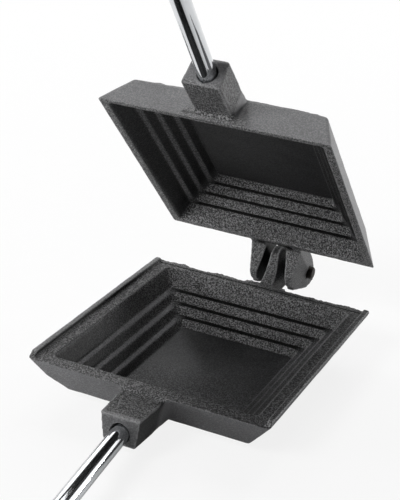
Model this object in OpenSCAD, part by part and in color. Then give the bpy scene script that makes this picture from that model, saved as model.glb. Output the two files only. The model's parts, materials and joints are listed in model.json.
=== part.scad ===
// Pie iron: two cast iron pans hinged at the back, each on a steel rod with a
// turned wooden grip.  Millimetres, +Z up.  The origin is the middle of the
// lower pan's flat base.  The rods leave towards -Y, the hinge is at +Y.
// The upper half is drawn closed and then raised about the hinge.

/* [Pans] */
// Width of the lower pan over its side lips
pan_w = 114; // [100:1:150]
// Length of the lower pan from front rim to back rim
pan_l = 122; // [100:1:160]
// Thickness of a pan's floor
floor_t = 3.4; // [2.5:0.1:8]
// Radius of the pans' outer corners
corner_r = 1.2; // [0.6:0.1:6]
// Height of the shallow bevel round the lower base
lower_bevel_h = 6.4; // [4:0.1:9]
// Height of the shallow bevel round the upper base
upper_bevel_h = 8; // [4:0.1:9]
// How far the shallow bevels run in to the flat base
bevel_run = 14; // [8:1:18]

/* [Lower rim] */
// Inset of the lower side walls at the knee
lower_side_inset = 13; // [8:0.1:14]
// Inset of the lower end walls at the knee
lower_end_inset = 12.3; // [6:0.1:13]
// Width of the side rims, lips included
side_rim = 8.3; // [7:0.1:11]
// Width of the front rim
front_rim = 7.4; // [7:0.1:11]
// Width of the back rim
back_rim = 4.8; // [4:0.1:9]
// Thickness of the side lips
lip_w = 2.6; // [1.5:0.1:3]
// Height of the side lips above the parting plane
lip_h = 2.2; // [1:0.1:4]

/* [Upper rim] */
// Gap between the rims of the closed iron
rim_gap = 0.8; // [0.4:0.1:1.5]
// Side play of the upper pan between the lips
lip_gap = 0.65; // [0.3:0.05:1.2]
// Setback of the upper front rim from the lower one
upper_setback = 4.3; // [0:0.1:6]
// Overhang of the upper back rim past the lower one
upper_overhang = 2.5; // [0:0.1:3]
// Inset of the upper side walls at the knee
upper_side_inset = 8.4; // [5:0.1:9]
// Inset of the upper end walls at the knee
upper_end_inset = 7.4; // [5:0.1:8]
// Width of the upper side rims
upper_side_rim = 4; // [3.5:0.1:8]
// Width of the upper front rim
upper_front_rim = 2.9; // [2.8:0.1:8]
// Width of the upper back rim
upper_back_rim = 3.9; // [3:0.1:8]

/* [Stepped cavity] */
// Height of the first band below the rim
first_band = 8; // [6:0.5:14]
// Height of each further band
band_h = 3.5; // [2.5:0.1:5]
// Number of further bands
bands = 3; // [1:1:4]
// Draft of the bands in degrees
band_draft = 31; // [20:1:35]
// Width of the ledge between two bands
ledge_w = 2.8; // [1.5:0.1:4]
// Fall of each ledge towards the middle
ledge_fall = 0.7; // [0:0.1:1.2]
// Corner radius of the cavity at the rim
cavity_r = 2.2; // [1:0.1:4]

/* [Rod bosses] */
// Width of the lower boss at its near face
lower_boss_w = 18.3; // [16:0.1:24]
// Height of the lower boss
lower_boss_h = 14.3; // [13:0.1:18]
// Reach of the lower boss in front of the rim
lower_boss_l = 20; // [16:0.1:35]
// Sideways place of the lower boss
lower_boss_x = 0; // [-6:0.1:6]
// Step from the lower rim down to the boss
lower_boss_drop = 1.2; // [0:0.1:3]
// Width of the upper boss at its near face
upper_boss_w = 17.6; // [16:0.1:24]
// Height of the upper boss
upper_boss_h = 13.5; // [12.5:0.1:18]
// Reach of the upper boss in front of its own rim
upper_boss_l = 22.2; // [16:0.1:35]
// Sideways place of the upper boss
upper_boss_x = 0.6; // [-6:0.1:6]
// Step from the upper rim up to the boss
upper_boss_drop = 3.5; // [0:0.1:5]
// Draft of the lower boss's sides, each side
lower_boss_draft = 2; // [0:0.1:3]
// Draft of the upper boss's sides, each side
upper_boss_draft = 0.7; // [0:0.1:3]
// Widening of the lower boss from its face to its root, each side
lower_boss_flare = 1.1; // [0:0.1:3]
// Widening of the upper boss from its face to its root, each side
upper_boss_flare = 0.4; // [0:0.1:3]
// Radius of the concave fillets at the sides of the lower boss's root
lower_boss_fillet = 3.2; // [1:0.1:6]
// Radius of the concave fillets at the sides of the upper boss's root
upper_boss_fillet = 1.6; // [1:0.1:6]
// Run of the ramp from a boss's near face up to the rim
boss_ramp = 2.2; // [0.5:0.1:4]
// Radius of the outer edges of a boss
boss_edge_r = 1.6; // [0.5:0.1:4]

/* [Hinge] */
// Distance of the hinge axis behind the lower back rim
hinge_back = 27.5; // [24:0.1:34]
// Height of the hinge axis above the parting plane
hinge_rise = 0.4; // [0:0.1:2]
// Diameter of the hinge pin
pin_d = 6.35; // [5:0.05:8]
// Running clearance round the pin, on the radius
pin_clear = 0.05; // [0.02:0.01:0.1]
// Radius of the lugs about the pin
lug_r = 8.6; // [8:0.1:11]
// How far a lug's toe reaches past the hinge axis
lug_toe = 14.2; // [11:0.1:16]
// Clear run between the lower back rim and the lugs' front edges
lug_standoff = 7.9; // [6:0.1:10]
// Thickness of each outer lug at the parting line
outer_lug_w = 8.1; // [7:0.1:12]
// Thickness of the middle lug at the parting line
middle_lug_w = 6.6; // [5:0.1:12]
// Gap between the middle lug and each outer lug
lug_gap = 2; // [0.4:0.1:5]
// Sideways place of the hinge's middle
hinge_x = 2.2; // [-6:0.1:6]
// Draft of the outer lugs' sides in degrees
outer_lug_draft = 9.5; // [0:0.5:10]
// Draft of the middle lug's sides in degrees
middle_lug_draft = 5; // [0:0.5:7]
// Opening angle drawn, in degrees
open_angle = 46; // [0:1:170]

/* [Rods] */
// Diameter of the rods
rod_d = 8; // [6:0.5:9]
// Bare length of each rod between boss and ferrule
rod_reach = 385; // [150:5:600]
// Depth of the rod's hole in its boss
socket_depth = 19; // [12:0.5:20]
// Clearance of the rod in its hole, on the radius
socket_clear = 0.05; // [0.02:0.01:0.1]
// Diameter of the widened mouth of the hole
mouth_d = 9; // [8.4:0.1:10]
// Depth of the widened mouth
mouth_depth = 1.6; // [0.5:0.1:3]
// Depth of the lower rod's axis below the parting plane
lower_rod_z = 9.3; // [7:0.1:10]
// Height of the upper rod's axis above the upper rim
upper_rod_z = 9.7; // [9:0.1:12]
// Sideways place of the upper rod's hole
upper_rod_x = 1.3; // [-6:0.1:6]
// Sideways turn of the lower rod in degrees
lower_rod_yaw = 5.75; // [0:0.05:6]
// Sideways turn of the upper rod in degrees
upper_rod_yaw = 3.3; // [0:0.05:4]
// Rise of the upper rod away from the parting plane in degrees
upper_rod_rise = 0.7; // [0.5:0.05:3]

/* [Grips] */
// Length of each wooden grip
grip_l = 130; // [90:1:180]
// Largest diameter of the grips
grip_d = 26; // [22:0.5:30]
// Diameter of the rod's reduced end inside the grip
spigot_d = 6; // [4:0.5:6]
// Length of the ferrules
ferrule_l = 16; // [10:0.5:25]
// Outer diameter of the ferrules
ferrule_d = 20; // [18:0.5:21]
// Wall of the ferrules
ferrule_t = 1.2; // [0.8:0.1:2]
// Clearance between the pieces on a spigot, on the radius
grip_clear = 0.1; // [0.05:0.01:0.2]
// Diameter of the end washers
washer_d = 14; // [12:0.5:18]
// Thickness of the end washers
washer_t = 1.2; // [0.8:0.1:2]
// Width across the flats of the domed nuts
nut_af = 10; // [9:0.5:12]
// Height of the domed nuts
nut_h = 10; // [8:0.5:14]

/* [Hidden] */

$fn = 64;
arc_steps = 4;       // segments in a quarter of a small corner
boss_sink = 0.2;     // how far a boss's fillets run into the pan's wall
root_depth = 3;      // how far a boss or lug is carried into the pan's wall
weld = 0.5;          // overlap of two shapes of one casting
over = 1;            // how far a cut runs past the surface that it opens
end_gap = 0.2;       // space left past the end of a rod
chamfer = 0.6;       // chamfer on the ends of the rods and the pin

// Heights and depths
cavity_depth = first_band + bands * (band_h + ledge_fall);
pan_h = cavity_depth + floor_t;
part_z = pan_h;

// Plan of the lower pan
lower_x = pan_w / 2;
front_y = -pan_l / 2;
back_y = pan_l / 2;

// Plan of the upper pan, which nests between the lips
upper_x = lower_x - lip_w - lip_gap;
upper_front_y = front_y + upper_setback;
upper_back_y = back_y + upper_overhang;
upper_rim_z = part_z + rim_gap;

// Drafts of the end walls, as run over height
lower_slope = lower_end_inset / (pan_h - lower_bevel_h);
upper_slope = upper_end_inset / (pan_h - upper_bevel_h);

// Lips and the ledge that carries the middle lug
lip_fade_front = 3;
lip_fade_back = 1.5;
lip_sink = 0.05;     // how far a lip runs into its rim
hinge_ledge_side = 7;    // how far the ledge reaches past each side of the lug
hinge_ledge_top = 0.3;   // height above the parting plane
hinge_ledge_run = upper_overhang + 0.7;
hinge_ledge_t = 4.5;
hinge_ledge_tail = 9;    // how far it reaches in below the rim
hinge_ledge_sink = 1.9;  // depth of its tail inside the pan's wall

// Hinge
hinge_y = back_y + hinge_back;
hinge_z = part_z + hinge_rise;
hinge_w = middle_lug_w + 2 * lug_gap + 2 * outer_lug_w;
pin_r = pin_d / 2;
pin_bore_r = pin_r + pin_clear;
pin_head_r = pin_r + 2.2;
pin_head_h = 2.2;
pin_proud = 2;       // how far the peened end stands out
lug_crown = 1.2;     // rise of a lug's top edge from the axis to its root
lug_lean = 60;       // where the lug's round back ends, in degrees below level
lug_sink = 0.05;     // how far the web's corner there lies inside the round
lug_knee = 4.6;      // depth below the axis at which the front edge leans back
lug_web = 2.4;       // run of the web from the pan's rim down to the front edge
toe_r = 6.2;         // radius of the toe's front corner
toe_set = 7.8;       // place of that corner's centre behind the front edge
toe_run = 12.4;      // reach of the toe's flat underside behind the front edge

// Rod axes: where each leaves its boss
lower_mouth = [lower_boss_x, front_y - lower_boss_l, part_z - lower_rod_z];
upper_mouth = [upper_rod_x, upper_front_y - upper_boss_l, upper_rim_z + upper_rod_z];

// Pieces along a rod, counted from the mouth of its hole
rod_r = rod_d / 2;
spigot_r = spigot_d / 2;
bore_r = spigot_r + grip_clear;
ferrule_end_t = 1.6;
ferrule_edge = 1.5;  // bevel round the ferrule's front end
grip_at = rod_reach + ferrule_end_t;
washer_at = grip_at + grip_l;
nut_at = washer_at + washer_t;
thread_l = nut_h - 3.4;
nose_r = ferrule_d / 2 - ferrule_t - grip_clear;
nose_l = ferrule_l - ferrule_end_t;
grip_step = 0.6;     // step from the ferrule up to the wood
grip_round = 5;      // length of the grip's rounded end
grip_taper = 48;     // how far the grip thins past its belly, as an angle
belly = 0.6;         // place of the grip's thickest ring along its length
hex_h = nut_h * 0.55;
dome_inset = 0.3;    // step from the nut's flats in to its dome

// The lower rod falls just enough for its grip to lie level with the base
lower_rod_drop = asin((lower_mouth[2] - grip_d / 2) / (grip_at + belly * grip_l));

// ---- shapes ----

// Ring of points round a rectangle with rounded corners, at one height
function round_ring(x0, x1, y0, y1, r, z) =
    [for (c = [[x1 - r, y1 - r, 0], [x0 + r, y1 - r, 90], [x0 + r, y0 + r, 180], [x1 - r, y0 + r, 270]])
        for (k = [0:arc_steps])
            let (a = c[2] + 90 * k / arc_steps) [c[0] + r * cos(a), c[1] + r * sin(a), z]];

// Solid through rings of equal count, listed from the top down; the first point
// of each ring sees all the others, so that the end caps are fans from it
module loft(rings) {
    n = len(rings[0]);
    last = len(rings) - 1;
    points = [for (ring = rings) each ring];
    top = [for (j = [1:n - 2]) [0, j + 1, j]];
    bottom = [for (j = [1:n - 2]) [last * n, last * n + j, last * n + j + 1]];
    sides = [for (i = [0:last - 1])
        for (j = [0:n - 1])
            let (k = (j + 1) % n)
                each [[i * n + j, i * n + k, (i + 1) * n + k], [i * n + j, (i + 1) * n + k, (i + 1) * n + j]]];
    polyhedron(points, concat(top, bottom, sides), convexity = 6);
}

// Outline drawn in Y and Z, given a thickness along X about x = 0
module along_x(width) {
    translate([-width / 2, 0, 0]) rotate([90, 0, 90]) linear_extrude(width) children();
}

// Outline drawn in X and Z, given a run along Y
module along_y(y0, y1) {
    translate([0, y1, 0]) rotate([90, 0, 0]) linear_extrude(y1 - y0) children();
}

// Insets and depths of the stepped cavity wall, from the rim to the floor
function band_run(h) = h * tan(band_draft);
function step_start(i) = [band_run(first_band) + i * (ledge_w + band_run(band_h)),
                          first_band + i * (ledge_fall + band_h)];
cavity_steps = concat([[-band_run(over), -over], step_start(0)],
    [for (i = [0:bands - 1])
        each [step_start(i) + [ledge_w, ledge_fall], step_start(i + 1)]]);

// Stepped hollow below z = 0, to be cut from a pan
module cavity(half_w, y0, y1) {
    loft([for (s = cavity_steps)
        round_ring(-half_w + s[0], half_w - s[0], y0 + s[0], y1 - s[0], cavity_r, -s[1])]);
}

// Outer body below z = 0: drafted walls to the knee, then a shallow bevel
module shell(half_w, y0, y1, side_inset, end_inset, bevel_h) {
    knee = pan_h - bevel_h;
    inner_w = half_w - side_inset;
    loft([round_ring(-half_w, half_w, y0, y1, corner_r, 0),
          round_ring(-inner_w, inner_w, y0 + end_inset, y1 - end_inset, corner_r, -knee),
          round_ring(-inner_w + bevel_run, inner_w - bevel_run,
                     y0 + end_inset + bevel_run, y1 - end_inset - bevel_run, corner_r, -pan_h)]);
}

// Plan of a boss at one depth: flared sides, concave root fillets, and a tail in
// the pan's wall; back is how far the drafted wall has run back at that depth
function boss_ring(half, reach, flare, fillet, back, z) =
    let (root = half + flare,
         tail = back + root_depth,
         right = concat([[half, -reach, z], [root, back - fillet, z]],
            [for (k = [1:arc_steps])
                let (a = 180 - 90 * k / arc_steps)
                    [root + fillet * (1 + cos(a)), back + fillet * (sin(a) - 1), z]],
            [[root + fillet, tail, z]]),
         last = len(right) - 1)
        concat([[0, tail, z]], [for (i = [last:-1:0]) [-right[i][0], right[i][1], z]], right);

// Boss below the rim plane z = 0: drop is the step down to its near face, slope
// the wall's draft.  Its outer edges are rounded, and a ramp joins the near face
// to the rim
module boss(width, height, reach, drop, draft, flare, fillet, slope) {
    half = width / 2;
    ramp_top = max(0, drop - boss_ramp);
    ramp_y = slope * ramp_top;
    face_y = slope * drop;
    levels = concat([[0, 0]],
        [for (k = [0:arc_steps])
            let (a = 90 * k / arc_steps) [height - boss_edge_r * (1 - sin(a)), boss_edge_r * (1 - cos(a))]]);
    loft([for (v = levels)
        boss_ring(half - draft * v[0] / height - v[1], reach - v[1], flare, fillet,
                  slope * (drop + v[0]) + boss_sink, -drop - v[0])]);
    intersection() {
        loft([for (z = [ramp_top, drop + weld])
            boss_ring(half, reach, flare, fillet, face_y + boss_sink, -z)]);
        along_x(2 * half + 4 * fillet)
            polygon([[face_y - boss_ramp, -drop - weld], [face_y - boss_ramp, -drop], [ramp_y, -ramp_top],
                     [ramp_y + root_depth, -ramp_top], [face_y + root_depth, -drop - weld]]);
    }
}

// Points of a circular arc
function arc(cx, cy, r, a0, a1, steps) =
    [for (k = [0:steps]) let (a = a0 + (a1 - a0) * k / steps) [cx + r * cos(a), cy + r * sin(a)]];

// ---- lugs, drawn about the hinge axis ----

// Side outline of a lug that hangs from a pan above it, its toe reaching down
// past the axis; rim_u and rim_v place the pan's rim, slope is its wall's draft
module lug_outline(rim_u, rim_v, slope) {
    front = lug_standoff - hinge_back;
    top = lug_r + lug_crown;
    web_r = lug_r - lug_sink;
    root_u = rim_u - slope * (top - rim_v) - root_depth;
    polygon(concat(
        [[root_u, top], [0, lug_r], web_r * [cos(lug_lean), -sin(lug_lean)], [front + toe_run, -lug_toe]],
        arc(front + toe_set, toe_r - lug_toe, toe_r, -lug_lean, -lug_lean - 90, arc_steps + 1),
        [[front, -lug_knee], [rim_u + lug_web, rim_v], [root_u, rim_v]]));
}

// Lug sides, widest at the parting line and drafted both ways
module lug_section(width, draft) {
    reach = max(lug_toe, lug_r + lug_crown) + over;
    cut = reach * tan(draft);
    polygon([[-width / 2, 0], [-width / 2 + cut, reach], [width / 2 - cut, reach],
             [width / 2, 0], [width / 2 - cut, -reach], [-width / 2 + cut, -reach]]);
}

module lug(width, draft) {
    intersection() {
        union() {
            along_x(width) children();
            rotate([0, 90, 0]) cylinder(r = lug_r, h = width, center = true);
        }
        along_y(-2 * hinge_back, 2 * lug_r) lug_section(width, draft);
    }
}

module at_hinge(x) {
    translate([x, hinge_y, hinge_z]) children();
}

module pin_bore() {
    at_hinge(hinge_x) rotate([0, 90, 0]) cylinder(r = pin_bore_r, h = hinge_w + 2 * over, center = true);
}

// ---- placing ----

// Raises a closed upper piece to the drawn opening
module raised() {
    at_hinge(0) rotate([-open_angle, 0, 0]) translate([0, -hinge_y, -hinge_z]) children();
}

// Puts a piece drawn along +Z on a rod's axis, its z = 0 at the mouth of the hole
module on_lower_rod() {
    translate(lower_mouth) rotate([90 + lower_rod_drop, 0, lower_rod_yaw]) children();
}

module on_upper_rod() {
    raised() translate(upper_mouth) rotate([90 - upper_rod_rise, 0, upper_rod_yaw]) children();
}

module socket() {
    translate([0, 0, -socket_depth]) cylinder(r = rod_r + socket_clear, h = socket_depth + over);
    translate([0, 0, -mouth_depth]) cylinder(d = mouth_d, h = mouth_depth + over);
}

// ---- castings ----

// Side lip that keeps the closed upper pan in line, fading out at both corners
module side_lip() {
    along_x(lip_w)
        polygon([[front_y + corner_r, -lip_sink], [front_y + corner_r + lip_fade_front, lip_h],
                 [back_y - corner_r, lip_h], [back_y - corner_r + lip_fade_back, -lip_sink]]);
}

// Low ledge behind the rim that the middle lug rises from
module hinge_ledge() {
    edge_y = back_y + hinge_ledge_run;
    tail_y = back_y - hinge_ledge_tail;
    tail_z = hinge_ledge_sink - hinge_ledge_tail / lower_slope;
    along_x(middle_lug_w + 2 * hinge_ledge_side)
        polygon([[back_y - weld, hinge_ledge_top], [edge_y - 1, hinge_ledge_top], [edge_y, hinge_ledge_top - 1],
                 [edge_y - 1, -hinge_ledge_t], [tail_y, tail_z], [tail_y, tail_z + hinge_ledge_t]]);
}

module lower_pan() {
    color("#3a3a3c")
    difference() {
        union() {
            translate([0, 0, part_z]) {
                shell(lower_x, front_y, back_y, lower_side_inset, lower_end_inset, lower_bevel_h);
                for (side = [-1, 1])
                    translate([side * (lower_x - lip_w / 2), 0, 0]) side_lip();
                translate([lower_boss_x, front_y, 0])
                    boss(lower_boss_w, lower_boss_h, lower_boss_l, lower_boss_drop,
                         lower_boss_draft, lower_boss_flare, lower_boss_fillet, lower_slope);
                translate([hinge_x, 0, 0]) hinge_ledge();
            }
            at_hinge(hinge_x) mirror([0, 0, 1])
                lug(middle_lug_w, middle_lug_draft)
                    lug_outline(-hinge_back, hinge_rise, lower_slope);
        }
        translate([0, 0, part_z]) cavity(lower_x - side_rim, front_y + front_rim, back_y - back_rim);
        on_lower_rod() socket();
        pin_bore();
    }
}

// The upper pan is drawn upside down below z = 0, turned over and raised
module upper_pan() {
    color("#3f3f41")
    difference() {
        raised()
        difference() {
            union() {
                translate([0, 0, upper_rim_z]) mirror([0, 0, 1]) {
                    shell(upper_x, upper_front_y, upper_back_y,
                          upper_side_inset, upper_end_inset, upper_bevel_h);
                    translate([upper_boss_x, upper_front_y, 0])
                        boss(upper_boss_w, upper_boss_h, upper_boss_l, upper_boss_drop,
                             upper_boss_draft, upper_boss_flare, upper_boss_fillet, upper_slope);
                }
                for (side = [-1, 1])
                    at_hinge(hinge_x + side * (middle_lug_w / 2 + lug_gap + outer_lug_w / 2))
                        lug(outer_lug_w, outer_lug_draft)
                            lug_outline(upper_overhang - hinge_back, rim_gap - hinge_rise, upper_slope);
            }
            translate([0, 0, upper_rim_z]) mirror([0, 0, 1])
                cavity(upper_x - upper_side_rim, upper_front_y + upper_front_rim,
                       upper_back_y - upper_back_rim);
            pin_bore();
        }
        on_upper_rod() socket();
    }
}

// ---- hinge pin ----

// Riveted pin: domed head on the left, peened end just proud on the right
module hinge_pin() {
    color("#4a4a4c")
    at_hinge(hinge_x - hinge_w / 2) rotate([0, 90, 0])
        rotate_extrude()
            polygon(concat([[0, -pin_head_h]],
                [for (k = [arc_steps - 1:-1:0])
                    let (a = 90 * k / arc_steps) [pin_head_r * cos(a), -pin_head_h * sin(a)]],
                [[pin_r, 0], [pin_r, hinge_w + pin_proud - chamfer],
                 [pin_r - chamfer, hinge_w + pin_proud], [0, hinge_w + pin_proud]]));
}

// ---- rods ----

// Plated rod: full diameter to the ferrule, then a reduced end for grip and nut
module rod() {
    foot = end_gap - socket_depth;
    tip = nut_at + thread_l;
    rotate_extrude()
        polygon([[0, foot], [rod_r - chamfer, foot], [rod_r, foot + chamfer], [rod_r, rod_reach],
                 [spigot_r, rod_reach], [spigot_r, tip - chamfer], [spigot_r - chamfer, tip], [0, tip]]);
}

module lower_rod() {
    color("#c9ccd0") on_lower_rod() rod();
}

module upper_rod() {
    color("#c9ccd0") on_upper_rod() rod();
}

// ---- grips ----

// Steel cup over the nose of the grip, seated on the shoulder of the rod
module ferrule() {
    outer = ferrule_d / 2;
    inner = outer - ferrule_t;
    rotate_extrude()
        polygon([[bore_r, rod_reach], [outer - ferrule_edge, rod_reach], [outer, rod_reach + ferrule_edge],
                 [outer, rod_reach + ferrule_l], [inner, rod_reach + ferrule_l],
                 [inner, grip_at], [bore_r, grip_at]]);
}

// Radius of the turned grip at a share of its length behind the ferrule
function grip_radius(t) =
    let (swell = t < belly ? sin(90 * t / belly) : cos(grip_taper * (t - belly) / (1 - belly)),
         slim = ferrule_d / 2 + grip_step)
        slim + (grip_d / 2 - slim) * swell;

// Turned wooden grip with a nose for the ferrule, a long belly and a round end
module grip() {
    body_l = grip_l - nose_l;
    end_r = grip_radius(1);
    rotate_extrude()
        polygon(concat([[bore_r, grip_at], [nose_r, grip_at], [nose_r, grip_at + nose_l]],
            [for (k = [0:12])
                let (t = k / 12) [grip_radius(t), grip_at + nose_l + t * (body_l - grip_round)]],
            [for (k = [1:6])
                let (a = 90 * k / 6) [washer_d / 2 + (end_r - washer_d / 2) * cos(a),
                                      washer_at - grip_round * (1 - sin(a))]],
            [[bore_r, washer_at]]));
}

module grip_washer() {
    translate([0, 0, washer_at])
        difference() {
            cylinder(d = washer_d, h = washer_t);
            translate([0, 0, -over]) cylinder(r = bore_r, h = washer_t + 2 * over);
        }
}

// Domed nut: hexagon with a round cap, blind threaded from the front
module grip_nut() {
    dome_r = nut_af / 2 - dome_inset;
    translate([0, 0, nut_at])
        difference() {
            union() {
                cylinder(d = nut_af / cos(30), h = hex_h, $fn = 6);
                rotate_extrude()
                    polygon(concat([[0, hex_h - weld], [dome_r, hex_h - weld]],
                        [for (k = [0:6])
                            let (a = 90 * k / 6) [dome_r * cos(a), hex_h + (nut_h - hex_h) * sin(a)]]));
            }
            translate([0, 0, -over]) cylinder(r = spigot_r + socket_clear, h = over + thread_l + end_gap);
        }
}

module lower_ferrule() {
    color("#b9bcc0") on_lower_rod() ferrule();
}

module upper_ferrule() {
    color("#b9bcc0") on_upper_rod() ferrule();
}

module lower_grip() {
    color("#9a6a3c") on_lower_rod() grip();
}

module upper_grip() {
    color("#9a6a3c") on_upper_rod() grip();
}

module lower_grip_washer() {
    color("#b9bcc0") on_lower_rod() grip_washer();
}

module upper_grip_washer() {
    color("#b9bcc0") on_upper_rod() grip_washer();
}

module lower_grip_nut() {
    color("#c9ccd0") on_lower_rod() grip_nut();
}

module upper_grip_nut() {
    color("#c9ccd0") on_upper_rod() grip_nut();
}

lower_pan();
upper_pan();
hinge_pin();
lower_rod();
upper_rod();
lower_ferrule();
upper_ferrule();
lower_grip();
upper_grip();
lower_grip_washer();
upper_grip_washer();
lower_grip_nut();
upper_grip_nut();
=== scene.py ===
import json
from math import cos, pi, radians, sin

import bmesh
import bpy
import numpy as np
from mathutils import Euler, Matrix, Vector, noise


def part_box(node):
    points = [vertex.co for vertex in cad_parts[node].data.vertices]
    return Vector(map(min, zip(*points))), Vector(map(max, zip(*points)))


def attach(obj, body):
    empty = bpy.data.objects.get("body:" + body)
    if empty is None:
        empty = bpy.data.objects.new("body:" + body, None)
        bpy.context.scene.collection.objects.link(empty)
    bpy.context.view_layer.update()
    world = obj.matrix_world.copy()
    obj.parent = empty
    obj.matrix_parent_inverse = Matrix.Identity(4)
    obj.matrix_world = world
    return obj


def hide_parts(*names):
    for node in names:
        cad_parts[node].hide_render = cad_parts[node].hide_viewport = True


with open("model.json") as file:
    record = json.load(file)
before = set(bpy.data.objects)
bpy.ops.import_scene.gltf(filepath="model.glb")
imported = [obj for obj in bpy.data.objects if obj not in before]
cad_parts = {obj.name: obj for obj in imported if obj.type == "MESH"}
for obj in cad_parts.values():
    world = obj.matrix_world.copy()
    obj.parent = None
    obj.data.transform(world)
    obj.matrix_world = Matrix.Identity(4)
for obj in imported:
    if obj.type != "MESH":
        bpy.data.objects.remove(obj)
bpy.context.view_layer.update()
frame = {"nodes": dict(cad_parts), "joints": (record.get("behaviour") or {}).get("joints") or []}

# ---- Lower pan ----
# A square stepped pan with its rod boss and middle hinge lug, poured in one piece
# of grey iron in a sand mould and left black.  The sand leaves a fine grain on
# every face, soft edges, and ragged flash along the back rim.

MM = 0.001
pan_voxel = 0.5 * MM         # mesh spacing on a casting
casting_faces = 190000       # triangles kept of a casting
edge_softening = 2           # passes that round off the casting's edges
swell_size = 9 * MM          # long waves in a cast face
swell_height = 0.10 * MM
lump_size = 2.0 * MM         # lumps left by the sand
lump_height = 0.09 * MM
worn_reach = 2               # passes that spread the wear in from an edge
worn_gain, worn_start = 14, 0.5
fillet_passes = 30           # passes that round the corner round a boss's foot
foot_reach = (18 * MM, 6 * MM, 13 * MM)
foot_core = 0.6              # share of that reach that is rounded in full

part_z = 24 * MM             # the plane in which the mould parted
floor_z = 3.4 * MM
back_rim_y = 61 * MM
ridge_w = 1.7 * MM           # raised edge along the back rim
ridge_h = 0.3 * MM
ridge_foot = 0.5 * MM        # width of the slope up to it
ridge_notch = 0.25           # share of its height that comes and goes
flash_reach = 1.5 * MM       # how far the flash stands out behind the rim
flash_rise = 0.1 * MM
flash_root = 0.9 * MM        # how far into the rim it starts
flash_size = 1.5 * MM        # length of one tooth of the flash
flash_patch = 13 * MM        # length of a heavier stretch of it
flash_mean, flash_most = 0.35, 1.3   # shares of its full size
flash_teeth, flash_heavy, flash_left = 0.7, 1.1, 0.2     # what teeth, stretches and the left add
lug_tip_rise = 1.1           # mm, how far the lug's tip stands up towards the raised pan
corner_swell = (-0.9, -0.9, -0.3)    # mm, the fuller front left corner

# Where the surfaces of either pan start, each as (none, full): shares of a normal.
aside_face = (0.4, 0.7)      # looks across the pan
wall_face = (0.35, 0.1)      # looks away from the other pan's side: the outer walls
floor_face = (0.7, 0.95)
cavity_face = (0.3, 0.4)
ledge_face = (0.85, 0.93)
rim_face = (0.9, 0.97)
right_face = (0.5, 0.8)
corner_blend = 0.1 * MM      # softness of the line at a cavity's corners

# How much smoother than sand these are: the walls, side faces, rims, ledges and lugs.
wall_calm, aside_calm, rim_calm, ledge_calm, lug_calm = 0.72, 0.75, 0.1, 0.6, 0.3

# Where the lower pan's own surfaces start, in x, y or z, and how dark the painted shade is on them.
rim_level = (1.4 * MM, 0.2 * MM)
lug_y = (63 * MM, 65 * MM)
lug_top_z = (36 * MM, 37.5 * MM)
lug_tip_z = (35.5 * MM, 37.5 * MM)
boss_y = (-61 * MM, -65 * MM)
brow_y = (-79 * MM, -80 * MM)        # the boss's front edge, worn bright
forward_y = (30 * MM, -30 * MM)      # the pan's front half
near_y = (5 * MM, -45 * MM)  # the floor's front
far_y = (0, 20 * MM)         # the floor's back
left_x = (10 * MM, -10 * MM)
right_x = (-10 * MM, 30 * MM)
lip_x = (54.9 * MM, 54.6 * MM)       # a lip's inner face
cavity_end_y = 59 * MM
cavity_mid_y = 1.3 * MM
cavity_half = (48.7, 54.9)   # mm, half the mouth's width and length
lower_painted_shade = dict(floor=0.3, floor_far=0.25, right_rim=0.45, right_wall=0.3, right_back=0.3, lug=0.2,
                  lug_side=0.7, lug_top=0.9, lip=0.4, lip_forward=0.5, side=0.05, side_forward=0.65,
                  boss=0.3, boss_right=0.75)


def linear(text):
    """Turns an sRGB hex colour into the linear RGBA that a shader takes."""
    shares = [int(text[i:i + 2], 16) / 255 for i in (1, 3, 5)]
    return [s / 12.92 if s <= 0.04045 else ((s + 0.055) / 1.055) ** 2.4 for s in shares] + [1]


def add_node(tree, kind, inputs=None, **settings):
    """Adds a node with its settings; inputs holds a value or another node's output for each socket."""
    node = tree.nodes.new(kind)
    for key, value in settings.items():
        setattr(node, key, value)
    for key, value in (inputs or {}).items():
        if isinstance(value, bpy.types.NodeSocket):
            tree.links.new(value, node.inputs[key])
        else:
            node.inputs[key].default_value = value
    return node


def new_material(name):
    """An empty node material, its tree and its output node."""
    material = bpy.data.materials.new(name)
    material.use_nodes = True
    tree = material.node_tree
    tree.nodes.clear()
    return material, tree, add_node(tree, "ShaderNodeOutputMaterial")


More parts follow.
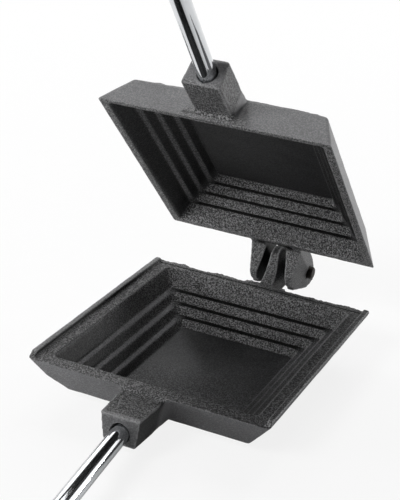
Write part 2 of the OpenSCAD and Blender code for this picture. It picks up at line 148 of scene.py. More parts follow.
def sand_cast_iron():
    """Black sand-cast iron: half matt and dark, its grain catching the light as fine specks,
    smoother and greyer where the edges rub.  Painted shade blackens it and dulls its gloss where
    faces lie in shade, and painted light greys some faces that catch the light."""
    material, tree, output = new_material("sand cast iron")
    grain_size = 0.64        # mm, as are the next two
    pit_size = 1.4
    blotch_size = 14
    grain_depth, pit_depth = 0.85 * MM, 0.12 * MM
    coords = add_node(tree, "ShaderNodeTexCoord")
    in_mm = add_node(tree, "ShaderNodeVectorMath", {0: coords.outputs["Object"], 1: (1000, 1000, 1000)},
                     operation="MULTIPLY")
    grain = add_node(tree, "ShaderNodeTexNoise", {"Vector": in_mm.outputs[0], "Scale": 1 / grain_size,
                                                  "Detail": 2.0, "Roughness": 0.6})
    pits = add_node(tree, "ShaderNodeTexVoronoi", {"Vector": in_mm.outputs[0], "Scale": 1 / pit_size})
    blotch = add_node(tree, "ShaderNodeTexNoise", {"Vector": in_mm.outputs[0], "Scale": 1 / blotch_size,
                                                   "Detail": 3.0})
    wear_and_painted_light = add_node(tree, "ShaderNodeAttribute", attribute_name="wear_and_painted_light")
    sandy = add_node(tree, "ShaderNodeAttribute", attribute_name="sandy")
    outer = add_node(tree, "ShaderNodeAttribute", attribute_name="outer")
    tips = add_node(tree, "ShaderNodeMapRange", {"Value": grain.outputs[0], "From Min": 0.45,
                                                 "From Max": 0.62})
    black = add_node(tree, "ShaderNodeMix", {"Factor": tips.outputs[0], "A": linear("#070708"),
                                             "B": linear("#868687")}, data_type="RGBA")
    # The outer share greys the outer walls, and also paints light on the left cavity wall's back and its
    # left ledges.
    calm = add_node(tree, "ShaderNodeMix", {"Factor": outer.outputs["Fac"], "A": linear("#262628"),
                                            "B": linear("#6c6c6e")}, data_type="RGBA")
    plain = add_node(tree, "ShaderNodeMix", {"Factor": sandy.outputs["Fac"], "A": calm.outputs["Result"],
                                             "B": black.outputs["Result"]}, data_type="RGBA")
    dusty = add_node(tree, "ShaderNodeMapRange", {"Value": blotch.outputs[0], "From Min": 0.35,
                                                  "From Max": 0.7, "To Max": 0.3})
    mottled = add_node(tree, "ShaderNodeMix", {"Factor": dusty.outputs[0], "A": plain.outputs["Result"],
                                               "B": linear("#39393a")}, data_type="RGBA")
    # Painted shade: faces that lie in shade are painted near black.
    painted_shade = add_node(tree, "ShaderNodeAttribute", attribute_name="painted_shade")
    shaded_colour = add_node(tree, "ShaderNodeMix", {"Factor": painted_shade.outputs["Fac"], "A": mottled.outputs["Result"],
                                             "B": linear("#080808")}, data_type="RGBA")
    # Wear greys the rubbed edges; the same mix paints highlights on the left lip's top, the right outer
    # wall and under the boss.
    patchy = add_node(tree, "ShaderNodeMapRange", {"Value": grain.outputs[0], "From Min": 0.35,
                                                   "From Max": 0.6, "To Min": 0.45, "To Max": 1.0})
    rubbed_and_lit = add_node(tree, "ShaderNodeMath", {0: wear_and_painted_light.outputs["Fac"], 1: patchy.outputs[0]},
                      operation="MULTIPLY")
    colour = add_node(tree, "ShaderNodeMix", {"Factor": rubbed_and_lit.outputs[0], "A": shaded_colour.outputs["Result"],
                                              "B": linear("#7f7f80")}, data_type="RGBA")
    rough = add_node(tree, "ShaderNodeMapRange", {"Value": grain.outputs[0], "From Min": 0.3,
                                                  "From Max": 0.7, "To Min": 0.6, "To Max": 0.42})
    strength = add_node(tree, "ShaderNodeMapRange", {"Value": sandy.outputs["Fac"], "To Min": 0.04,
                                                     "To Max": 1.0})
    pitted = add_node(tree, "ShaderNodeBump", {"Height": pits.outputs["Distance"], "Distance": pit_depth,
                                               "Strength": strength.outputs[0]})
    grainy = add_node(tree, "ShaderNodeBump", {"Height": grain.outputs[0], "Distance": grain_depth,
                                               "Strength": strength.outputs[0],
                                               "Normal": pitted.outputs[0]})
    # Painted shade also takes away the gloss.
    gloss = add_node(tree, "ShaderNodeMapRange", {"Value": painted_shade.outputs["Fac"], "To Min": 0.5,
                                                  "To Max": 0.08})
    shader = add_node(tree, "ShaderNodeBsdfPrincipled", {
        "Base Color": colour.outputs["Result"], "Roughness": rough.outputs[0], "Metallic": 0.0, "IOR": 1.5,
        "Specular IOR Level": gloss.outputs[0], "Normal": grainy.outputs[0]})
    tree.links.new(shader.outputs[0], output.inputs["Surface"])
    return material


def set_attribute(mesh, name, values):
    """Stores one number for each point of a mesh."""
    mesh.attributes.new(name, "FLOAT", "POINT").data.foreach_set("value", values)


def ramp(values, low, high):
    """0 below low, 1 above high and a straight rise between; high may be the smaller one."""
    return np.clip((values - low) / (high - low), 0, 1)


def waves(points, size, seed):
    """Smooth noise of about -1 to 1 at each point."""
    offset = Vector((seed, 3 * seed, 7 * seed))
    return np.array([noise.noise(Vector(p) / size + offset) for p in points])


def casting(node, upright, foot, roughen):
    """A casting's mesh: the node's own shape, respaced evenly, its edges softened and its faces
    grained by the sand.  upright turns the node level while that is done; foot is the place of the
    boss's foot, which is rounded; roughen moves the points for what is this casting's own, and
    returns for each of them its wear with painted light, how sandy it is, its outer grey with
    painted light, and its painted shade."""
    mesh = frame["nodes"][node].data.copy()
    mesh.transform(upright)
    bm = bmesh.new()
    bm.from_mesh(mesh)
    bmesh.ops.remove_doubles(bm, verts=bm.verts, dist=0.001 * MM)
    bm.to_mesh(mesh)
    bm.free()
    draft = bpy.data.objects.new("draft", mesh)
    bpy.context.scene.collection.objects.link(draft)
    respaced = draft.modifiers.new("respaced", "REMESH")
    respaced.mode = "VOXEL"
    respaced.voxel_size = pan_voxel
    even = bpy.data.meshes.new_from_object(draft.evaluated_get(bpy.context.evaluated_depsgraph_get()))
    bpy.data.objects.remove(draft)

    count = len(even.vertices)
    points = np.empty(count * 3)
    even.vertices.foreach_get("co", points)
    points = points.reshape(-1, 3)
    ends = np.empty(len(even.edges) * 2, dtype=int)
    even.edges.foreach_get("vertices", ends)
    a, b = ends.reshape(-1, 2).T
    share = 1 / np.bincount(ends, minlength=count)

    def blur(values):
        total = np.bincount(a, values[b], count) + np.bincount(b, values[a], count)
        return total * share

    for _ in range(edge_softening):
        points = (points + np.column_stack([blur(points[:, k]) for k in range(3)])) / 2
    off_foot = np.linalg.norm((points - np.array(foot)) / np.array(foot_reach), axis=1)
    soft = ramp(off_foot, 1, foot_core)[:, None]
    for _ in range(fillet_passes):
        points += soft * (np.column_stack([blur(points[:, k]) for k in range(3)]) - points) / 2
    even.vertices.foreach_set("co", points.ravel())
    normals = np.empty(count * 3)
    even.vertex_normals.foreach_get("vector", normals)
    normals = normals.reshape(-1, 3)
    middle = np.column_stack([blur(points[:, k]) for k in range(3)])
    bulge = ((points - middle) * normals).sum(axis=1) / pan_voxel
    for _ in range(worn_reach):
        bulge = (bulge + blur(bulge)) / 2
    wear_and_painted_light = np.clip(worn_gain * bulge - worn_start, 0, 1)
    traits = roughen(points, normals, wear_and_painted_light)
    sandy = traits["sandy"]
    shift = (waves(points, swell_size, seed=1) * swell_height
             + waves(points, lump_size, seed=5) * lump_height * sandy)
    points += normals * shift[:, None]
    even.vertices.foreach_set("co", points.ravel())
    for name, values in traits.items():
        set_attribute(even, name, values)
    even.transform(upright.inverted())

    draft = bpy.data.objects.new("draft", even)
    bpy.context.scene.collection.objects.link(draft)
    thinned = draft.modifiers.new("thinned", "DECIMATE")
    even.calc_loop_triangles()
    thinned.ratio = min(1.0, casting_faces / len(even.loop_triangles))
    light = bpy.data.meshes.new_from_object(draft.evaluated_get(bpy.context.evaluated_depsgraph_get()))
    bpy.data.objects.remove(draft)
    for polygon in light.polygons:
        polygon.use_smooth = True
    return light


def place(name, mesh, material, slot, body, *nodes):
    """Puts a finished mesh in the scene as a piece of a body, in place of its plain nodes."""
    piece = bpy.data.objects.new(name, mesh)
    bpy.context.scene.collection.objects.link(piece)
    piece.data.materials.clear()
    piece.data.materials.append(material)
    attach(piece, body)
    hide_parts(*nodes)


def back_side(x, y, middle, half):
    """1 on the back of a cavity and 0 on its other sides, parted along the lines to its corners."""
    return ramp((y - middle) / half[1] - abs(x) / half[0], -corner_blend, corner_blend)


def lower_roughness(points, normals, wear_and_painted_light):
    """Raises the back rim's edge, leaves ragged flash behind it where the halves of the mould met, and
    makes the cavity and the rims sandy but the floor and the outside walls smoother.  It paints shade
    into the corners, ledges, side walls and right-hand faces, and paints light on the left lip's top
    and the left cavity wall."""
    painted_shade_of = lower_painted_shade
    x, y, z = points.T       # these follow the points as they move
    level = ramp(abs(z - part_z), *rim_level)
    ridge = ramp(y, back_rim_y - ridge_w - ridge_foot, back_rim_y - ridge_w) * level
    behind = ramp(y, back_rim_y - flash_root, back_rim_y) * level * (y < back_rim_y + flash_reach)
    along = np.column_stack([x, 0 * x, z / 3])
    fine, coarse = waves(along, flash_size, seed=2), waves(along, flash_size * 2.7, seed=4)
    teeth = 0.7 * fine + 0.6 * coarse
    patches = waves(np.column_stack([x, 0 * x, 0 * x]), flash_patch, seed=6)
    more_left = ramp(x, 0, -50 * MM)
    reach = flash_mean + flash_teeth * teeth + flash_heavy * patches + flash_left * more_left
    reach = np.clip(reach, 0, flash_most)
    points[:, 2] += ridge * ridge_h * (1 - ridge_notch + ridge_notch * teeth) + behind * flash_rise * reach
    points[:, 1] += behind * flash_reach * reach

    # How far each point belongs to each surface.
    up, aside = normals[:, 2], ramp(abs(normals[:, 0]), *aside_face)
    lug = ramp(y, *lug_y)
    outside = ramp(up, *wall_face) * (1 - lug) * ramp(z, part_z + 0.9 * MM, part_z + 0.3 * MM)
    flat = ramp(z, floor_z + 1.5 * MM, floor_z + 0.8 * MM) * ramp(up, *floor_face)
    inside = (ramp(z, part_z - 0.5 * MM, part_z - 1.5 * MM) * ramp(up, *cavity_face)
              * (abs(y) < cavity_end_y))
    at_back = back_side(x, y, cavity_mid_y, cavity_half)
    ledge = ramp(up, *ledge_face) * inside * (1 - flat)
    rim = ramp(up, *rim_face) * ramp(z, part_z - 2 * MM, part_z - MM)
    boss, near, forward = ramp(y, *boss_y), ramp(y, *near_y), ramp(y, *forward_y)
    left, right = ramp(x, *left_x), ramp(x, *right_x)
    sandy = (1 - wall_calm * outside) * (1 - aside_calm * aside * forward)
    sandy *= 1 - flat * (0.8 - 0.65 * near)
    sandy *= 1 - rim_calm * rim
    sandy *= (1 - ledge_calm * ledge * (1 - at_back)) * (1 - lug_calm * lug)

    # Painted shade darkens the corners, ledges, lips, side walls, floor, right-hand faces, lugs
    # and the boss's right side.
    foot = level * ramp(abs(y - back_rim_y + ridge_w + 0.4 * MM), 0.5 * MM, 0.2 * MM)
    lip = ramp(z, part_z + 0.2 * MM, part_z + 0.6 * MM) * aside * ramp(abs(x), *lip_x)
    side_wall = ((painted_shade_of["side"] + painted_shade_of["side_forward"] * forward) * inside * (1 - at_back) * (1 - flat)
                 * (1 - ledge * left))
    shade = ((painted_shade_of["floor"] + painted_shade_of["floor_far"] * ramp(y, *far_y) * left) * flat
             + painted_shade_of["right_rim"] * rim * right + painted_shade_of["right_wall"] * outside * right)
    shade += painted_shade_of["right_back"] * at_back * inside * right + painted_shade_of["lug"] * lug
    painted_shade = np.maximum.reduce([
        ledge * at_back, foot * (1 - lug),
        (painted_shade_of["lip"] + painted_shade_of["lip_forward"] * forward) * lip * (1 - lug), side_wall, shade,
        painted_shade_of["lug_side"] * lug * aside, painted_shade_of["lug_top"] * lug * ramp(z, *lug_top_z),
        painted_shade_of["boss"] * boss, painted_shade_of["boss_right"] * boss * ramp(normals[:, 0], *right_face)])
    # Outer walls take the greyer outer colour; the back of the left cavity wall and its ledges get it as
    # painted light.
    outer = np.maximum(0.8 * outside, inside * (1 - at_back) * left * np.maximum(0.6 * ledge, 1 - forward))

    # Edges rub bright; the left lip's top gets a painted highlight, and the right lip's top loses
    # half its wear as painted shade.
    lip_top = ramp(z, part_z + 0.7 * MM, part_z + 0.9 * MM) * ramp(up, 0.8, 0.9) * (1 - lug)
    ragged = waves(points, 1.2 * MM, seed=8) * 0.5 * MM
    brow = ramp(abs(z - part_z + 1.5 * MM) + ragged, 1.0 * MM, 0.5 * MM) * ramp(y, *brow_y)
    wear_and_painted_light = np.maximum.reduce([wear_and_painted_light * (1 - 0.5 * lip_top * right), 0.85 * lip_top * left, brow])
    points[:, 2] += lug * ramp(z, *lug_tip_z) * lug_tip_rise * MM
    swollen = (ramp(-x - y, 84 * MM, 104 * MM) * ramp(z, 4 * MM, 12 * MM) * ramp(z, 23 * MM, 15 * MM)
               * outside)
    points += swollen[:, None] * np.array(corner_swell) * MM
    return {"wear_and_painted_light": wear_and_painted_light, "sandy": sandy, "outer": outer, "painted_shade": painted_shade}


cast_iron = sand_cast_iron()
lower_foot = (0, -62 * MM, 15.6 * MM)
place("lower_casting", casting("lower_pan", Matrix(), lower_foot, lower_roughness), cast_iron,
      "cast_iron", "lower", "lower_pan")

# ---- Upper pan ----
# The matching half, cast the same way, which nests between the lower pan's lips.
# It hangs from the hinge by two lugs and is modelled shut, then raised as shown.

upper_lug_y = (64 * MM, 66 * MM)
upper_floor_z = (43.5 * MM, 44.5 * MM)
upper_cavity_z = (25.3 * MM, 26.3 * MM)
upper_cavity_y = (-55 * MM, 62 * MM)
upper_mid_y = 2.9 * MM
upper_half = (49.8, 56.8)    # mm, half the mouth's width and length
upper_rim_z = (27 * MM, 26 * MM)
upper_top_z = (42 * MM, 45 * MM)
upper_front_y = (-34 * MM, -40 * MM)
hinge_side_y = (-40 * MM, 40 * MM)
dark_right_x = (20 * MM, 30 * MM)    # the cavity's right wall
sunny_x = (40 * MM, 42 * MM)         # the right outer wall, with a painted highlight
front_wall_y = -57 * MM      # the front wall stands in front of this
boss_foot_y = (-58 * MM, -59 * MM)
hinge_x = 2.2 * MM           # middle of the hinge
upper_boss_x = 0.6 * MM      # middle of the boss
strip_x = (16 * MM, 14 * MM) # half the ragged band under the boss
strip_z = (31 * MM, 29.5 * MM)
strip_y = (-50 * MM, -52 * MM)
crack_x, crack_z = -11 * MM, 27.3 * MM
seam_x, seam_z = 9 * MM, (30.5 * MM, 29.5 * MM)
notch_h = 0.7                # mm, height of the waves along the front wall's top
# How dark the painted shade is on the upper pan's surfaces.
upper_painted_shade = dict(side=0.5, side_back=0.3, right=0.85, back=0.08, back_right=0.2, floor=0.6, under=0.3)

hinge = frame["joints"][0]
hinge_at = Vector(hinge["pos_m"])
shut = (Matrix.Translation(hinge_at)
        @ Matrix.Rotation(radians(hinge["range_deg"][0]), 4, Vector(hinge["axis"]))
        @ Matrix.Translation(-hinge_at))


def upper_roughness(points, normals, wear_and_painted_light):
    """Sandy in the cavity, on the rims and lugs, smoother outside and on the cavity's floor, with a
    ragged band under the boss and a notched edge along the front wall's top.  It paints shade on
    the ledges, side walls, floor and beside the lugs, and highlights on the right outer wall, the
    band and the boss's right face."""
    painted_shade_of = upper_painted_shade
    x, y, z = points.T       # these follow the points as they move
    up, aside = -normals[:, 2], ramp(abs(normals[:, 0]), *aside_face)
    lug = ramp(y, *upper_lug_y)
    outside = ramp(up, *wall_face) * (1 - lug)
    flat = ramp(z, *upper_floor_z) * ramp(up, *floor_face)
    inside = (ramp(z, *upper_cavity_z) * ramp(up, *cavity_face)
              * (y > upper_cavity_y[0]) * (y < upper_cavity_y[1]))
    at_back = back_side(x, y, upper_mid_y, upper_half)
    ledge = ramp(up, *ledge_face) * inside * (1 - flat)
    rim = ramp(up, *rim_face) * ramp(z, *upper_rim_z)
    sandy = (1 - wall_calm * outside) * (1 - aside_calm * aside * (y > front_wall_y)) * (1 - 0.9 * flat)
    sandy *= 1 - rim_calm * rim
    sandy *= (1 - ledge_calm * ledge * (1 - at_back)) * (1 - lug_calm * lug)
    ragged = waves(points, 3 * MM, seed=8) * 1.5 * MM
    strip = ramp(abs(x - upper_boss_x) + ragged, *strip_x) * ramp(z + ragged, *strip_z)
    strip *= outside * ramp(y, *strip_y)
    # The boss's right face joins the band, and with it a painted highlight.
    boss_right = ramp(normals[:, 0], *right_face) * ramp(y, -57.5 * MM, -59 * MM)
    strip = np.maximum(strip, boss_right)
    sandy = np.maximum(sandy, strip)

    side_wall = (painted_shade_of["side"] + painted_shade_of["side_back"] * ramp(y, *hinge_side_y)) * (1 - ledge)
    side_wall = np.maximum(side_wall, painted_shade_of["right"] * ramp(x, *dark_right_x))
    side_wall = side_wall * inside * (1 - at_back) * (1 - flat)
    off_hinge = abs(x - hinge_x)
    between = ramp(off_hinge, 10 * MM, 9 * MM) * ramp(y, 61.5 * MM, 62 * MM) * (1 - lug)
    gap = lug * aside * ramp(off_hinge, 9 * MM, 8 * MM)
    shade = inside * at_back * (painted_shade_of["back"] + painted_shade_of["back_right"] * ramp(x, -30 * MM, 20 * MM))
    right_wall_highlight = outside * aside * ramp(x, *sunny_x)
    notched = outside * ramp(z, *upper_top_z) * ramp(y, *upper_front_y)
    across = np.column_stack([x, 0 * x, 0 * x])
    notches = waves(across, 7 * MM, seed=9) + 0.6 * waves(across, 2.2 * MM, seed=3)
    points[:, 2] += notched * notch_h * MM * notches

    crack = ramp(abs(z - crack_z - ragged / 2), 1.0 * MM, 0.5 * MM)
    crack *= ramp(abs(x - crack_x), 4 * MM, 3 * MM)
    in_front = ramp(y, *boss_foot_y)
    under = in_front * ramp(up, 0.6, 0.8)
    seam = ramp(abs(x - seam_x) + ragged / 3, 1.2 * MM, 0.5 * MM) * ramp(z, *seam_z)
    seam *= in_front
    # Painted shade on the back ledges, the side walls, beside and between the lugs, the floor, the crack,
    # the back wall and under the boss.
    painted_shade = np.maximum.reduce([ledge * at_back, side_wall, gap, between, painted_shade_of["floor"] * flat,
                              crack * outside, shade, painted_shade_of["under"] * under])
    outer = outside * (0.8 + 0.2 * aside) * (1 - 0.4 * strip)
    # The seam on the boss is rubbed brightest; the right outer wall gets a painted highlight, and
    # the band under the boss and the boss's right face a weaker one.
    wear_and_painted_light = np.maximum.reduce([wear_and_painted_light, 0.8 * right_wall_highlight, seam, 0.5 * strip])
    return {"wear_and_painted_light": wear_and_painted_light, "sandy": sandy, "outer": outer, "painted_shade": painted_shade}


upper_foot = (upper_boss_x, -58 * MM, 35 * MM)
place("upper_casting", casting("upper_pan", shut, upper_foot, upper_roughness), cast_iron,
      "cast_iron", "upper", "upper_pan")

# ---- Hinge pin ----
# A soft steel rivet, headed on the left and peened over on the right, blackened
# by the fire.

pin_r = 6.35 / 2             # mm
pin_head_r = 5.375           # mm
pin_head_h = 2.2             # mm
pin_end_r = 2.6              # mm
pin_end_h = 0.7              # mm, height of the peened end


def spun(outline, steps=72):
    """A bmesh turned from an outline of (radius, height) points in mm."""
    bm = bmesh.new()
    ring = [bm.verts.new((r, 0, z)) for r, z in outline]
    for a, b in zip(ring, ring[1:]):
        bm.edges.new((a, b))
    bmesh.ops.spin(bm, geom=bm.verts[:] + bm.edges[:], cent=(0, 0, 0), axis=(0, 0, 1), dvec=(0, 0, 0),
                   angle=2 * pi, steps=steps, use_merge=True, use_duplicate=False)
    bmesh.ops.remove_doubles(bm, verts=bm.verts, dist=0.001)
    return bm


def lathe(name, outline, at, steps=72, bevel=0.0):
    """Turns an outline of (radius, height) points in mm about its own axis, keeps the place of each
    point on that axis for the material, and sets the piece where it belongs."""
    bm = spun(outline, steps)
    bmesh.ops.recalc_face_normals(bm, faces=bm.faces)
    if bevel:
        bevel_edges(bm, bevel)
    return settle(name, bm, at)


def bevel_edges(bm, width, least=radians(25)):
    """Takes the sharpness off every edge that turns by more than a small angle."""
    sharp = [e for e in bm.edges if len(e.link_faces) == 2 and e.calc_face_angle(0) > least]
    bmesh.ops.bevel(bm, geom=sharp, offset=width, offset_type="OFFSET", affect="EDGES", segments=2,
                    profile=0.5, material=-1, clamp_overlap=True)


def settle(name, bm, at):
    """Ends a piece drawn in mm about its own axis: keeps its own coordinates and moves it into place."""
    mesh = bpy.data.meshes.new(name)
    bm.to_mesh(mesh)
    bm.free()
    own = mesh.attributes.new("turned", "FLOAT_VECTOR", "POINT")
    own.data.foreach_set("vector", [c for v in mesh.vertices for c in v.co])
    mesh.transform(at @ Matrix.Scale(MM, 4))
    for polygon in mesh.polygons:
        polygon.use_smooth = True
    mesh.set_sharp_from_angle(angle=radians(35))
    return mesh


def blackened_steel():
    """Mild steel turned black by heat: dark, dull, with a little brown."""
    material, tree, output = new_material("blackened steel")
    scale_size = 0.8         # mm
    own = add_node(tree, "ShaderNodeAttribute", attribute_name="turned")
    scale = add_node(tree, "ShaderNodeTexNoise", {"Vector": own.outputs["Vector"], "Scale": 1 / scale_size,
                                                  "Detail": 3.0})
    colour = add_node(tree, "ShaderNodeMix", {"Factor": scale.outputs[0], "A": linear("#141313"),
                                              "B": linear("#3a3633")}, data_type="RGBA")
    bump = add_node(tree, "ShaderNodeBump", {"Height": scale.outputs[0], "Distance": 0.1 * MM,
                                             "Strength": 0.8})
    shader = add_node(tree, "ShaderNodeBsdfPrincipled", {
        "Base Color": colour.outputs["Result"], "Roughness": 0.5, "Metallic": 1.0,
        "Normal": bump.outputs[0]})
    tree.links.new(shader.outputs[0], output.inputs["Surface"])
    return material


pin_low, pin_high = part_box("hinge_pin")
pin_l = (pin_high.x - pin_low.x) / MM
pin_outline = ([(0, 0)] + [(pin_head_r * sin(radians(a)), pin_head_h * (1 - cos(radians(a))))
                           for a in range(15, 91, 15)]
               + [(pin_r, pin_head_h), (pin_r, pin_l - pin_end_h), (pin_end_r, pin_l), (0, pin_l)])
pin_at = Matrix.Translation((pin_low.x, hinge_at.y, hinge_at.z)) @ Matrix.Rotation(pi / 2, 4, "Y")
dark_steel = blackened_steel()
place("pin", lathe("pin", pin_outline, pin_at, bevel=0.12), dark_steel, "dark_steel", "upper", "hinge_pin")

# ---- Rods ----
# Two 8 mm steel rods, drawn straight and chrome plated, pushed into the bosses.
# The far end is turned down inside the grip and threaded for its nut.

rod_r = 4.0                  # mm
spigot_r = 3.0               # mm
washer_t = 1.2               # mm
grip_l = 130.0               # mm
ferrule_end_t = 1.6          # mm
thread_l = 6.6               # mm
rod_chamfer = 0.6            # mm
rod_l = 403.8                # mm, from its foot in the boss to the shoulder


def rod_place(half):
    """Where a half's rod meets its ferrule, with +Z along the rod to its nut."""
    washer = sum(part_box(half + "_grip_washer"), Vector()) / 2
    ferrule = sum(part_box(half + "_ferrule"), Vector()) / 2
    along = (washer - ferrule).normalized()
    shoulder = washer - along * (washer_t / 2 + grip_l + ferrule_end_t) * MM
    return Matrix.Translation(shoulder) @ along.to_track_quat("Z", "Y").to_matrix().to_4x4()


def chrome_plate():
    """Bright chrome on drawn steel: a hard, slightly blue mirror with faint lines along the rod."""
    material, tree, output = new_material("chrome plate")
    line_size, haze_size = 0.7, 12       # mm
    drawn_out = (1, 1, 0.004)            # the lines are 250 times as long as they are wide
    own = add_node(tree, "ShaderNodeAttribute", attribute_name="turned")
    drawn = add_node(tree, "ShaderNodeMapping", {"Vector": own.outputs["Vector"], "Scale": drawn_out})
    lines = add_node(tree, "ShaderNodeTexNoise", {"Vector": drawn.outputs[0], "Scale": 1 / line_size,
                                                  "Detail": 3.0})
    haze = add_node(tree, "ShaderNodeTexNoise", {"Vector": own.outputs["Vector"], "Scale": 1 / haze_size,
                                                 "Detail": 3.0})
    rough = add_node(tree, "ShaderNodeMapRange", {"Value": haze.outputs[0], "From Min": 0.35,
                                                  "From Max": 0.7, "To Min": 0.05, "To Max": 0.1})
    tint = add_node(tree, "ShaderNodeMix", {"Factor": haze.outputs[0], "A": linear("#e6e8ea"),
                                            "B": linear("#d5d8db")}, data_type="RGBA")
    bump = add_node(tree, "ShaderNodeBump", {"Height": lines.outputs[0], "Distance": 0.05 * MM,
                                             "Strength": 1.0})
    shader = add_node(tree, "ShaderNodeBsdfPrincipled", {
        "Base Color": tint.outputs["Result"], "Roughness": rough.outputs[0], "Metallic": 1.0,
        "Normal": bump.outputs[0]})
    tree.links.new(shader.outputs[0], output.inputs["Surface"])
    return material


chrome = chrome_plate()
nut_at_z = ferrule_end_t + grip_l + washer_t
tip = nut_at_z + thread_l
rod_outline = [(0, -rod_l), (rod_r - rod_chamfer, -rod_l), (rod_r, rod_chamfer - rod_l), (rod_r, 0),
               (spigot_r, 0), (spigot_r, tip - rod_chamfer), (spigot_r - rod_chamfer, tip), (0, tip)]
for half in ("lower", "upper"):
    place(half + "_bar", lathe(half + "_bar", rod_outline, rod_place(half), steps=96), chrome,
          "chrome_plate", half, half + "_rod")

# ---- Grips ----
# Turned hardwood, stained mid brown and lacquered, bored through for the rod's
# thin end.  A pressed steel ferrule keeps the front end from splitting.

ferrule_l = 16.0             # mm
ferrule_r = 10.0             # mm
ferrule_t = 1.2              # mm
bore_r = 3.1                 # mm
belly = 0.6                  # place of the thickest ring along the grip
belly_r = 13.0               # mm
neck_r = ferrule_r + 0.6     # mm
end_round = 5.0              # mm
washer_r = 7.0               # mm
nut_across = 10.0            # mm
nut_h = 10.0                 # mm


def turned_hardwood():
    """Lacquered beech, stained brown: long fine grain with darker pores and a soft gloss."""
    material, tree, output = new_material("stained hardwood")
    ring_size, pore_size = 4.5, 0.5      # mm
    drawn_out = (1, 1, 0.06)
    own = add_node(tree, "ShaderNodeAttribute", attribute_name="turned")
    long_grain = add_node(tree, "ShaderNodeMapping", {"Vector": own.outputs["Vector"],
                                                      "Scale": drawn_out})
    rings = add_node(tree, "ShaderNodeTexNoise", {"Vector": long_grain.outputs[0], "Scale": 1 / ring_size,
                                                  "Detail": 4.0, "Distortion": 0.6})
    pores = add_node(tree, "ShaderNodeTexNoise", {"Vector": long_grain.outputs[0], "Scale": 1 / pore_size,
                                                  "Detail": 2.0})
    stain = add_node(tree, "ShaderNodeMapRange", {"Value": rings.outputs[0], "From Min": 0.3,
                                                  "From Max": 0.7})
    brown = add_node(tree, "ShaderNodeMix", {"Factor": stain.outputs[0], "A": linear("#6d4321"),
                                             "B": linear("#a36c3a")}, data_type="RGBA")
    dark = add_node(tree, "ShaderNodeMapRange", {"Value": pores.outputs[0], "From Min": 0.56,
                                                 "From Max": 0.66, "To Max": 0.7})
    colour = add_node(tree, "ShaderNodeMix", {"Factor": dark.outputs[0], "A": brown.outputs["Result"],
                                              "B": linear("#452812")}, data_type="RGBA")
    bump = add_node(tree, "ShaderNodeBump", {"Height": dark.outputs[0], "Distance": 0.03 * MM,
                                             "Strength": 0.6}, invert=True)
    shader = add_node(tree, "ShaderNodeBsdfPrincipled", {
        "Base Color": colour.outputs["Result"], "Roughness": 0.38, "Coat Weight": 0.4,
        "Coat Roughness": 0.12, "Normal": bump.outputs[0]})
    tree.links.new(shader.outputs[0], output.inputs["Surface"])
    return material


def plated_steel_finish():
    """Zinc plated pressed steel: pale grey, half bright, with fine turning lines round it."""
    material, tree, output = new_material("zinc plated steel")
    line_size, cloud_size = 0.25, 5      # mm
    drawn_round = (0.03, 0.03, 1)
    own = add_node(tree, "ShaderNodeAttribute", attribute_name="turned")
    round_lines = add_node(tree, "ShaderNodeMapping", {"Vector": own.outputs["Vector"],
                                                       "Scale": drawn_round})
    lines = add_node(tree, "ShaderNodeTexNoise", {"Vector": round_lines.outputs[0], "Scale": 1 / line_size,
                                                  "Detail": 3.0})
    cloud = add_node(tree, "ShaderNodeTexNoise", {"Vector": own.outputs["Vector"], "Scale": 1 / cloud_size,
                                                  "Detail": 4.0})
    tint = add_node(tree, "ShaderNodeMix", {"Factor": cloud.outputs[0], "A": linear("#b9bcc0"),
                                            "B": linear("#dcdee0")}, data_type="RGBA")
    rough = add_node(tree, "ShaderNodeMapRange", {"Value": cloud.outputs[0], "To Min": 0.2,
                                                  "To Max": 0.42})
    bump = add_node(tree, "ShaderNodeBump", {"Height": lines.outputs[0], "Distance": 0.02 * MM,
                                             "Strength": 0.5})
    shader = add_node(tree, "ShaderNodeBsdfPrincipled", {
        "Base Color": tint.outputs["Result"], "Roughness": rough.outputs[0], "Metallic": 1.0,
        "Normal": bump.outputs[0]})
    tree.links.new(shader.outputs[0], output.inputs["Surface"])
    return material


def grip_radius(share):
    """Radius of the turned grip at a share of its length behind the ferrule."""
    if share < belly:
        swell = sin(pi / 2 * share / belly)
    else:
        swell = cos(radians(48) * (share - belly) / (1 - belly))
    return neck_r + (belly_r - neck_r) * swell


def cap_nut(name, at):
    """Domed nut: a turned blank with six flats cut on it."""
    hex_h = 0.55 * nut_h
    corner_r = nut_across / 2 / cos(pi / 6)
    dome_r = nut_across / 2 - 0.3
    outline = [(spigot_r + 0.05, 0.4), (nut_across / 2 - 0.1, 0), (corner_r, 0.6), (corner_r, hex_h - 0.6),
               (nut_across / 2 - 0.1, hex_h), (dome_r, hex_h)]
    outline += [(dome_r * cos(radians(a)), hex_h + (nut_h - hex_h) * sin(radians(a)))
                for a in range(10, 91, 10)]
    outline[-1] = (0, nut_h)
    outline = [(0, 0.4)] + outline
    bm = spun(outline)
    for k in range(6):
        flat = Vector((cos(k * pi / 3), sin(k * pi / 3), 0))
        cut = bmesh.ops.bisect_plane(bm, geom=bm.verts[:] + bm.edges[:] + bm.faces[:], dist=0.0001,
                                     plane_co=flat * nut_across / 2, plane_no=flat, clear_outer=True,
                                     clear_inner=False)
        rim = [g for g in cut["geom_cut"] if isinstance(g, bmesh.types.BMEdge)]
        bmesh.ops.edgenet_fill(bm, edges=rim)
    bmesh.ops.recalc_face_normals(bm, faces=bm.faces)
    return settle(name, bm, at)


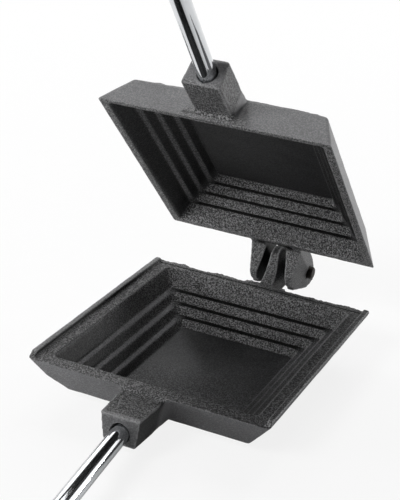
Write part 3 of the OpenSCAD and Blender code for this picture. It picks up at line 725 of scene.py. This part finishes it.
hardwood = turned_hardwood()
plated_steel = plated_steel_finish()
nose_l = ferrule_l - ferrule_end_t
body_l = grip_l - nose_l
grip_from = ferrule_end_t
nose_r = ferrule_r - ferrule_t - 0.1
inner_r = ferrule_r - ferrule_t
ferrule_outline = [(bore_r, 0), (ferrule_r - 1.5, 0), (ferrule_r, 1.5), (ferrule_r, ferrule_l - 2.6),
                   (ferrule_r - 0.35, ferrule_l - 2.2), (ferrule_r - 0.35, ferrule_l - 1.6),
                   (ferrule_r, ferrule_l - 1.2), (ferrule_r, ferrule_l), (inner_r, ferrule_l),
                   (inner_r, ferrule_end_t), (bore_r, ferrule_end_t), (bore_r, 0)]
grip_end = grip_from + grip_l
end_r = grip_radius(1)
grip_outline = [(bore_r, grip_from), (nose_r, grip_from), (nose_r, grip_from + nose_l)]
grip_outline += [(grip_radius(k / 24), grip_from + nose_l + k / 24 * (body_l - end_round))
                 for k in range(25)]
grip_outline += [(washer_r + (end_r - washer_r) * cos(radians(a)),
                  grip_end - end_round * (1 - sin(radians(a)))) for a in range(10, 91, 10)]
grip_outline += [(bore_r, grip_end), (bore_r, grip_from)]
washer_outline = [(bore_r, 0), (washer_r, 0), (washer_r, washer_t), (bore_r, washer_t), (bore_r, 0)]

for half in ("lower", "upper"):
    at = rod_place(half)
    place(half + "_collar", lathe(half + "_collar", ferrule_outline, at, bevel=0.15), plated_steel,
          "plated_steel", half, half + "_ferrule")
    place(half + "_handle", lathe(half + "_handle", grip_outline, at, steps=96, bevel=0.3), hardwood,
          "turned_wood", half, half + "_grip")
    washer_at = at @ Matrix.Translation((0, 0, grip_end * MM))
    place(half + "_washer", lathe(half + "_washer", washer_outline, washer_at, bevel=0.15), plated_steel,
          "plated_steel", half, half + "_grip_washer")
    place(half + "_cap_nut", cap_nut(half + "_cap_nut", at @ Matrix.Translation((0, 0, nut_at_z * MM))),
          plated_steel, "plated_steel", half, half + "_grip_nut")

# ---- Floor, light and camera ----
# A pale sweep under soft studio light, seen from the photograph's angle.  The
# sky is white to the camera alone.  The floor lightens to white with distance,
# for the camera alone, and keeps the iron's shadow.


def pale_floor():
    """Matt white paper that the camera sees mostly as white, more so with distance."""
    material, tree, output = new_material("white paper")
    fade_from, fade_to = 0.15, 0.9       # m from the iron
    white_near = 0.84        # share of white beside it
    fibres = add_node(tree, "ShaderNodeTexNoise", {"Scale": 900.0, "Detail": 2.0})
    paper = add_node(tree, "ShaderNodeMix", {"Factor": fibres.outputs[0], "A": linear("#e9e9e9"),
                                             "B": linear("#efefef")}, data_type="RGBA")
    matt = add_node(tree, "ShaderNodeBsdfDiffuse", {"Color": paper.outputs["Result"]})
    white = add_node(tree, "ShaderNodeEmission", {"Color": (1, 1, 1, 1), "Strength": 1.0})
    path = add_node(tree, "ShaderNodeLightPath")
    coords = add_node(tree, "ShaderNodeTexCoord")
    away = add_node(tree, "ShaderNodeVectorMath", {0: coords.outputs["Object"]}, operation="LENGTH")
    faded = add_node(tree, "ShaderNodeMapRange", {"Value": away.outputs["Value"], "From Min": fade_from,
                                                  "From Max": fade_to, "To Min": white_near,
                                                  "To Max": 1.0})
    share = add_node(tree, "ShaderNodeMath", {0: path.outputs["Is Camera Ray"], 1: faded.outputs[0]},
                     operation="MULTIPLY")
    mix = add_node(tree, "ShaderNodeMixShader", {0: share.outputs[0], 1: matt.outputs[0],
                                                 2: white.outputs[0]})
    tree.links.new(mix.outputs[0], output.inputs["Surface"])
    return material


def softbox(name, at, size, power, aim=(0, 0, 0.05)):
    """A square studio light that faces the iron."""
    light = bpy.data.lights.new(name, "AREA")
    light.size = size
    light.energy = power
    lamp = bpy.data.objects.new(name, light)
    bpy.context.scene.collection.objects.link(lamp)
    lamp.location = at
    lamp.visible_camera = False
    lamp.rotation_euler = (Vector(at) - Vector(aim)).to_track_quat("Z", "Y").to_euler()


floor_mesh = bpy.data.meshes.new("floor")
bm = bmesh.new()
bmesh.ops.create_grid(bm, x_segments=1, y_segments=1, size=6.0)
bm.to_mesh(floor_mesh)
bm.free()
floor = bpy.data.objects.new("floor", floor_mesh)
bpy.context.scene.collection.objects.link(floor)
floor.data.materials.append(pale_floor())

world = bpy.data.worlds.new("studio")
bpy.context.scene.world = world
world.use_nodes = True
sky = world.node_tree
sky.nodes.clear()
fill = add_node(sky, "ShaderNodeBackground", {"Color": (1, 1, 1, 1), "Strength": 0.06})
white = add_node(sky, "ShaderNodeBackground", {"Color": (1, 1, 1, 1), "Strength": 1.0})
path = add_node(sky, "ShaderNodeLightPath")
seen = add_node(sky, "ShaderNodeMixShader", {0: path.outputs["Is Camera Ray"], 1: fill.outputs[0],
                                             2: white.outputs[0]})
add_node(sky, "ShaderNodeOutputWorld", {"Surface": seen.outputs[0]})

softbox("back left", (-1.0, 1.4, 0.6), 0.9, 5)
softbox("back right", (1.2, 1.4, 0.15), 0.4, 18)
softbox("top", (0, 1.2, 1.5), 0.9, 12)
softbox("top left", (-0.9, 0.7, 1.4), 0.6, 8)
softbox("left", (-1.7, 0, 0.7), 0.9, 4)
softbox("front", (-0.4, -1.5, 1.2), 0.5, 19)
softbox("right card", (0.75, 1.35, 0.5), 0.5, 1.0)
softbox("low left", (-1.4, -1.1, 0.3), 0.5, 18)

camera_data = bpy.data.cameras.new("camera")
camera_data.lens = 94.26
camera_data.sensor_width = 36
camera = bpy.data.objects.new("camera", camera_data)
bpy.context.scene.collection.objects.link(camera)
camera.location = (0.21223, -0.48457, 0.29855)
camera.rotation_euler = Euler((radians(66.19), radians(-3.364), radians(25.734)))
camera_data.clip_start = 0.01
bpy.context.scene.camera = camera
bpy.context.scene.view_settings.view_transform = "Standard"
